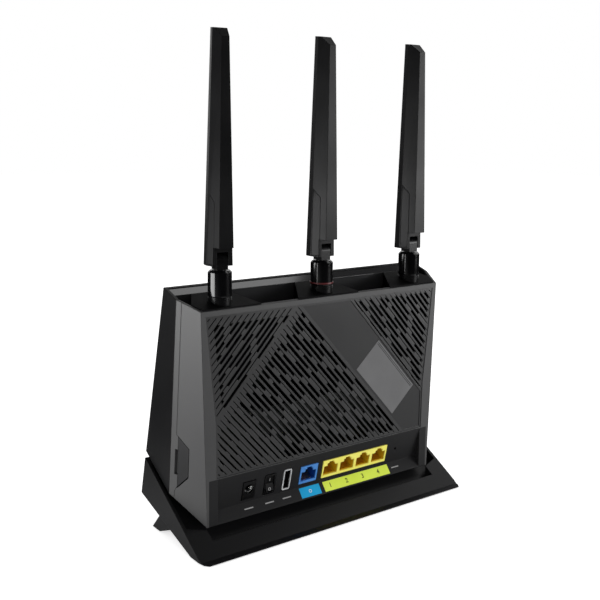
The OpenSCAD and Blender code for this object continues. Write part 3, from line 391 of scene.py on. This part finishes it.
def nickelShell():
    # satin nickel plating on the folded USB shell: a pale bright rim, and near black inside as painted shade
    return mouldedPlastic("satin nickel plating", {
        "dark": "#b4b6b8", "light": "#d8dadb", "driftMm": 6, "grainMm": 0.4, "grain": 0.06,
        "rough": 0.3, "roughVary": 0.08, "edgeMm": 0.2, "specular": 0.8,
        "deep": {"below": "portPanel", "steps": [(0.1, 0.6, "#141415", 0.2)]}})


def printedFilm(name, dark, light):
    # printed polyester film or ink: an even colour under a satin laminate
    return mouldedPlastic(name, {
        "dark": dark, "light": light, "driftMm": 25, "grainMm": 0.5, "grain": 0.04,
        "rough": 0.45, "roughVary": 0.03, "edgeMm": 0.15, "specular": 0.2})


def frostedGuide():
    # frosted polycarbonate light guide: milky white windows in the front shell
    return mouldedPlastic("frosted polycarbonate", {
        "dark": "#c9cdd0", "light": "#d8dcdf", "driftMm": 20, "grainMm": 0.5, "grain": 0.1,
        "rough": 0.5, "roughVary": 0.04, "edgeMm": 0.2})


def softRubber():
    # moulded silicone feet: dull black with a dry, uneven skin
    return mouldedPlastic("moulded silicone rubber", {
        "dark": "#0d0d0d", "light": "#151515", "driftMm": 10, "grainMm": 0.6, "grain": 0.4,
        "rough": 0.75, "roughVary": 0.05, "edgeMm": 0.4})


def darkRedRing():
    # dyed nylon ring on the middle antenna: dark wine red with a soft sheen
    return mouldedPlastic("dyed red nylon", {
        "dark": "#42090d", "light": "#560f13", "driftMm": 6, "grainMm": 0.5, "grain": 0.05,
        "rough": 0.35, "roughVary": 0.03, "edgeMm": 0.2})


def cableJacket():
    # extruded PVC of the coaxial leads: mid grey, smooth and a little waxy
    return mouldedPlastic("extruded grey PVC", {
        "dark": "#3a3a3c", "light": "#454547", "driftMm": 8, "grainMm": 0.5, "grain": 0.1,
        "rough": 0.45, "roughVary": 0.04, "edgeMm": 0.2})


metal = {
    "stretch": 0.08,  # the marks run along Y
    "detail": 3.0, "roughVary": 0.07, "bump": 0.08, "bumpDeepMm": 0.03,
}


def brightMetal(name, hexText, rough, brushMm):
    # drawn or stamped metal: fine marks along the sheet, a few hundredths of a millimetre apart, drawn
    # coarser so that they show
    material, tree = newMaterial(name)
    place = addNode(tree, "ShaderNodeTexCoord")
    stretch = addNode(tree, "ShaderNodeMapping", inputs={"Scale": (1.0, metal["stretch"], 1.0)},
                      links={"Vector": (place, "Object")})
    brush = addNode(tree, "ShaderNodeTexNoise", links={"Vector": (stretch, "Vector")},
                    inputs={"Scale": 1 / (brushMm * mm), "Detail": metal["detail"]})
    noiseLow, noiseHigh = moulding["noiseSpan"]
    gloss = addNode(tree, "ShaderNodeMapRange", links={"Value": (brush, "Fac")},
                    inputs={"From Min": noiseLow, "From Max": noiseHigh,
                            "To Min": rough - metal["roughVary"], "To Max": rough + metal["roughVary"]})
    bump = addNode(tree, "ShaderNodeBump", links={"Height": (brush, "Fac")},
                   inputs={"Strength": metal["bump"], "Distance": metal["bumpDeepMm"] * mm})
    shader = addNode(tree, "ShaderNodeBsdfPrincipled",
                     inputs={"Base Color": linearColour(hexText), "Metallic": 1.0},
                     links={"Roughness": (gloss, "Result"), "Normal": (bump, "Normal")})
    addNode(tree, "ShaderNodeOutputMaterial", links={"Surface": (shader, "BSDF")})
    return material


board = {"mask": "#080c0a", "copper": "#0e1611", "trackMm": 4, "trackEdge": (0.25, 0.35), "rough": 0.35}


def solderMask():
    # black epoxy solder mask over copper: a green tint, with tracks a shade lighter
    material, tree = newMaterial("black solder mask")
    place = addNode(tree, "ShaderNodeTexCoord")
    tracks = addNode(tree, "ShaderNodeTexVoronoi", distance="MANHATTAN",
                     inputs={"Scale": 1 / (board["trackMm"] * mm)}, links={"Vector": (place, "Object")})
    maskEnd, copperStart = board["trackEdge"]
    onTrack = addNode(tree, "ShaderNodeMapRange", inputs={"From Min": maskEnd, "From Max": copperStart},
                      links={"Value": (tracks, "Distance")})
    colour = addNode(tree, "ShaderNodeMix", data_type="RGBA", links={"Factor": (onTrack, "Result")},
                     inputs={6: linearColour(board["mask"]), 7: linearColour(board["copper"])})
    shader = addNode(tree, "ShaderNodeBsdfPrincipled", inputs={"Roughness": board["rough"]},
                     links={"Base Color": (colour, 2)})
    addNode(tree, "ShaderNodeOutputMaterial", links={"Surface": (shader, "BSDF")})
    return material


shellBlack = satinAbsShell()
shellGrey = greyAbsSide()
doorBlack = darkAbsDoor()
grilleGrey = mattAbsGrille()
deckDark = polishedDarkDeck()
seatBlack = mattBlackSeat()
collarBlack = polishedCollar()
antennaBlack = blackPolycarbonate()
nylonBlack = blackNylon()
socketYellow = yellowPbt()
socketBlue = bluePbt()
filmBlue = printedFilm("blue label film", "#0092c6", "#089ed2")
filmGreen = printedFilm("lime label film", "#ccdf44", "#d6e954")
filmGrey = printedFilm("grey label film", "#606061", "#69696a")
guideClear = frostedGuide()
rubberBlack = softRubber()
ringRed = darkRedRing()
steelSatin = nickelShell()
cableGrey = cableJacket()
boardBlack = solderMask()
# screws, pins and the card socket: cool and bright, with a broken mirror
steelBright = brightMetal("nickel-plated steel", "#c4c6c8", 0.28, 0.6)
# the heat sink: near black, with a metal's soft sheen
aluminiumBlack = brightMetal("black anodised aluminium", "#1d1d1f", 0.45, 0.8)
# the shield cans: blurred mid grey
tinDull = brightMetal("dull tin-plated steel", "#4a4b4d", 0.5, 0.8)
# the inlet's sleeve: a near white glint inside black plastic
steelSleeve = brightMetal("nickel-plated brass", "#f0f0ee", 0.3, 0.5)
# the contacts: warm gold lines at the back of the sockets
goldPlate = brightMetal("gold-plated phosphor bronze", "#e0aa3e", 0.35, 0.5)
# the printed marks: flat and even, a shade or more away from what carries them
inkPale = printedFilm("pale grey ink", "#8e8e8e", "#9a9a9a")
inkOlive = printedFilm("olive ink", "#5c6620", "#687326")
inkGrey = printedFilm("dark grey ink", "#2e2e2f", "#343435")
inkWhite = printedFilm("white ink", "#d2d6d8", "#dde0e2")

nodeLooks = {
    "front_cover": shellBlack, "stand_base": shellBlack, "mid_frame": shellGrey, "rear_cover": shellGrey,
    "sim_door": doorBlack, "pairing_button": doorBlack, "vent_grille": grilleGrey, "top_deck": deckDark,
    "antenna_seats": seatBlack, "light_guide": guideClear, "lan_port_block": socketYellow,
    "wan_port": socketBlue, "wan_label": filmBlue, "lan_label": filmGreen, "rating_label": filmGrey,
    "usb_port": steelSatin, "dc_jack_pin": steelBright, "sim_socket": steelBright, "shield_cans": tinDull,
    "board_screws": steelBright, "stand_screws": steelBright, "heat_sink": aluminiumBlack,
    "main_board": boardBlack, "port_board": boardBlack, "modem_module": boardBlack,
    "coax_leads": cableGrey, "rubber_feet": rubberBlack, "antenna_ring": ringRed,
}
antennaLooks = {"blade": antennaBlack, "panel": antennaBlack, "collar": collarBlack, "knuckle": nylonBlack,
                "jack": nylonBlack, "pin": steelBright}


def dressNodes():
    # connector bodies, the rocker and the reset button aren't in the tables: they are black nylon
    for name, piece in nodes.items():
        look = nodeLooks.get(name)
        if look is None and name.startswith("antenna_"):
            look = antennaLooks[name.rsplit("_", 1)[1]]
        piece.data.materials.clear()
        piece.data.materials.append(look or nylonBlack)


dressNodes()

print("stage: small pieces")

# the sockets along X in mm, at the usual pitch of sockets in one block
sockets = {"lanMiddle": -26.3, "lanPitch": 13.97, "lanCount": 4, "wanX": 13.05}
lanX = [sockets["lanMiddle"] + sockets["lanPitch"] * (i - (sockets["lanCount"] - 1) / 2)
        for i in range(sockets["lanCount"])]


def placeOn(surface, x, v=0.0, w=0.0, turn=0.0):
    # a place on a rear face: x as on the whole router, v up the face and w out of it, all in mm
    faceY, faceZ, lean = surfaces[surface]
    lean = math.radians(lean)
    right = Vector((-1, 0, 0))
    up = Vector((0, math.sin(lean), math.cos(lean)))
    out = Vector((0, math.cos(lean), -math.sin(lean)))
    spot = (Vector((x, faceY, faceZ)) + v * up + w * out) * mm
    facing = Matrix((right, up, out)).transposed().to_4x4()
    return Matrix.Translation(spot) @ facing @ Matrix.Rotation(math.radians(turn), 4, "Z")


def startPiece(name, size, at=(0, 0, 0)):
    bpy.ops.object.select_all(action="DESELECT")
    bpy.ops.mesh.primitive_cube_add(size=1, location=(0, 0, 0))
    piece = bpy.context.active_object
    piece.name = name
    bpy.ops.object.mode_set(mode="EDIT")
    bpy.ops.mesh.select_mode(type="FACE")
    bpy.ops.mesh.select_all(action="SELECT")
    bpy.ops.transform.resize(value=[side * mm for side in size], center_override=(0, 0, 0))
    bpy.ops.transform.translate(value=[step * mm for step in at])
    return piece


def finishPiece(piece, place, look, body="housing"):
    if piece.mode == "EDIT":
        bpy.ops.mesh.select_all(action="SELECT")
        bpy.ops.mesh.normals_make_consistent(inside=False)
        bpy.ops.object.mode_set(mode="OBJECT")
    bpy.ops.object.select_all(action="DESELECT")
    piece.select_set(True)
    bpy.context.view_layer.objects.active = piece
    piece.matrix_world = place
    bpy.ops.object.transform_apply(location=True, rotation=True, scale=True)
    piece.data.materials.clear()
    piece.data.materials.append(look)
    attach(piece, body)


def copyPiece(piece, name, place, look):
    # a copy of a piece that isn't placed yet, with its own mesh
    twin = piece.copy()
    twin.data = piece.data.copy()
    twin.name = name
    bpy.context.scene.collection.objects.link(twin)
    finishPiece(twin, place, look)


def pickFaces(piece, way):
    # in edit mode, selects the faces whose normals point along way, give or take 25 degrees
    bpy.ops.mesh.select_all(action="DESELECT")
    bpy.ops.object.mode_set(mode="OBJECT")
    for face in piece.data.polygons:
        face.select = face.normal.dot(Vector(way)) > 0.9
    bpy.ops.object.mode_set(mode="EDIT")


# spring contacts of the network sockets, in mm
contacts = {
    "count": 8, "pitch": 1.02, "size": (0.45, 0.22, 0.9),
    "front": (0.0, -17.6, -1.7),               # from the panel's upper edge
    "rise": (2.9, -5.6), "tail": (0.2, -2.6),  # steps up and inward
}


def makeContacts():
    comb = startPiece("lanContacts1", contacts["size"], contacts["front"])
    for up, inward in (contacts["rise"], contacts["tail"]):
        pickFaces(comb, (0, 0, -1))
        bpy.ops.mesh.extrude_region_move(TRANSFORM_OT_translate={"value": (0, up * mm, inward * mm)})
    bpy.ops.mesh.select_all(action="SELECT")
    bpy.ops.transform.translate(value=(-contacts["pitch"] * (contacts["count"] - 1) / 2 * mm, 0, 0))
    for _ in range(contacts["count"] - 1):
        bpy.ops.mesh.duplicate_move(TRANSFORM_OT_translate={"value": (contacts["pitch"] * mm, 0, 0)})
    bpy.ops.object.mode_set(mode="OBJECT")
    copyPiece(comb, "wanContacts", placeOn("portPanel", sockets["wanX"]), goldPlate)
    for index, x in enumerate(lanX[1:], 2):
        copyPiece(comb, f"lanContacts{index}", placeOn("portPanel", x), goldPlate)
    finishPiece(comb, placeOn("portPanel", lanX[0]), goldPlate)


# printed marks: bars, rings and plain numbers, a film of ink thick, all in mm
marks = {
    "ink": 0.06,
    "cornerShare": 0.3,        # a bar's corner radius, as a share of its width
    "ringSides": 32,
    "lineV": -3.9,             # the line on the ledge that they stand on
    "dash": (6.6, 0.75),
    "dashX": {"power": 59.5, "switch": 43.8, "usb": 30.4, "reset": -62.9},  # below what they mark
    "numberHigh": 3.0,
    "digitShare": 0.7,         # a digit's height, as a share of the type size
    "bold": 0.12,
    "ringOut": 1.1, "ringLine": 0.35,
    "ringStep": -1.6,          # from the middle of the uplink socket
    "stripe": (47.0, 0.45), "stripeIn": (1.3, 2.4),
    "labelEdge": ((-43.6, 110.2), (-76.7, 74.1)),  # X and Z of its ends
}


def makeBar(name, size):
    bar = startPiece(name, (*size, marks["ink"]))
    bpy.ops.mesh.select_mode(type="EDGE")
    bpy.ops.mesh.select_all(action="DESELECT")
    bpy.ops.object.mode_set(mode="OBJECT")
    for edge in bar.data.edges:  # the upright ones
        a, b = (bar.data.vertices[i].co for i in edge.vertices)
        edge.select = abs(a.z - b.z) > 0.5 * marks["ink"] * mm
    bpy.ops.object.mode_set(mode="EDIT")
    bpy.ops.mesh.bevel(offset=marks["cornerShare"] * min(size) * mm, segments=3)
    return bar


def makeRing(name, radius, line):
    bpy.ops.object.select_all(action="DESELECT")
    bpy.ops.mesh.primitive_cylinder_add(vertices=marks["ringSides"], radius=radius * mm,
                                        depth=marks["ink"] * mm, location=(0, 0, 0))
    ring = bpy.context.active_object
    ring.name = name
    bpy.ops.object.mode_set(mode="EDIT")
    bpy.ops.mesh.select_mode(type="FACE")
    for way in ((0, 0, 1), (0, 0, -1)):
        pickFaces(ring, way)
        bpy.ops.mesh.inset(thickness=line * mm)
    bpy.ops.mesh.select_all(action="DESELECT")
    bpy.ops.object.mode_set(mode="OBJECT")
    for face in ring.data.polygons:  # the two round faces in the middle, which the bridge opens
        face.select = len(face.vertices) == marks["ringSides"]
    bpy.ops.object.mode_set(mode="EDIT")
    bpy.ops.mesh.bridge_edge_loops()
    return ring


def makeNumber(name, text):
    bpy.ops.object.select_all(action="DESELECT")
    bpy.ops.object.text_add(location=(0, 0, 0))
    piece = bpy.context.active_object
    piece.name = name
    piece.data.body = text
    piece.data.size = marks["numberHigh"] * mm / marks["digitShare"]
    piece.data.extrude = marks["ink"] / 2 * mm
    piece.data.offset = marks["bold"] * mm
    piece.data.align_x, piece.data.align_y = "CENTER", "CENTER"
    bpy.ops.object.convert(target="MESH")
    bpy.ops.object.mode_set(mode="EDIT")
    bpy.ops.mesh.select_all(action="SELECT")
    bpy.ops.mesh.remove_doubles(threshold=0.001 * mm)
    return bpy.context.active_object


def makeMarks():
    for name, x in marks["dashX"].items():
        finishPiece(makeBar(f"{name}Dash", marks["dash"]), placeOn("labelLedge", x, marks["lineV"]), inkPale)
    for index, x in enumerate(reversed(lanX), 1):
        finishPiece(makeNumber(f"lanNumber{index}", str(index)),
                    placeOn("labelLedge", x, marks["lineV"]), inkOlive)
    finishPiece(makeRing("wanRing", marks["ringOut"], marks["ringLine"]),
                placeOn("labelLedge", sockets["wanX"] + marks["ringStep"], marks["lineV"]), inkWhite)
    # two thin stripes inside the long edge of the rating label
    start, end = (Vector(corner) for corner in marks["labelEdge"])
    edge = (end - start).normalized()
    inward = Vector((-edge.y, edge.x))
    turn = math.degrees(math.atan2(edge.y, -edge.x))
    for index, step in enumerate(marks["stripeIn"], 1):
        spot = (start + end) / 2 + inward * step
        finishPiece(makeBar(f"labelStripe{index}", marks["stripe"]),
                    placeOn("ratingLabel", spot.x, spot.y, turn=turn), inkGrey)


rockerMarks = {
    "middle": -13.2, "step": 3.1,  # up the port panel, to the rocker's middle and from there to each mark
    "probe": 10,                   # how far out the search for the rocker's face starts
    "bar": (0.5, 2.0), "ring": (1.0, 0.4),
}


def makeRockerMarks():
    # ON and OFF lie on the two slopes of the rocker, so a ray finds the face under each
    rocker = nodes["power_rocker"]
    intoWorld = rocker.matrix_world
    intoRocker = intoWorld.inverted()
    for name, step in (("rockerOn", rockerMarks["step"]), ("rockerOff", -rockerMarks["step"])):
        start = placeOn("portPanel", marks["dashX"]["switch"], rockerMarks["middle"] + step,
                        rockerMarks["probe"])
        way = -(start.to_3x3() @ Vector((0, 0, 1)))
        _, place, normal, _ = rocker.ray_cast(intoRocker @ start.translation, intoRocker.to_3x3() @ way)
        out = (intoWorld.to_3x3() @ normal).normalized()
        up = out.cross(Vector((-1, 0, 0))).normalized()
        turn = Matrix((up.cross(out), up, out)).transposed().to_4x4()
        made = makeBar(name, rockerMarks["bar"]) if step > 0 else makeRing(name, *rockerMarks["ring"])
        finishPiece(made, Matrix.Translation(intoWorld @ place) @ turn, inkPale, "power_rocker")


sleeve = {"radius": 3.08, "line": 0.3, "deep": 2.4, "at": (-11.8, -1.4)}  # up the port panel and out of it


def makeSleeve():
    # nickel sleeve just inside the round power inlet
    ring = makeRing("powerSleeve", sleeve["radius"], sleeve["line"])
    bpy.ops.mesh.select_all(action="SELECT")
    bpy.ops.transform.resize(value=(1, 1, sleeve["deep"] / marks["ink"]), center_override=(0, 0, 0))
    finishPiece(ring, placeOn("portPanel", marks["dashX"]["power"], *sleeve["at"]), steelSleeve)


makeContacts()
makeSleeve()
makeMarks()
makeRockerMarks()
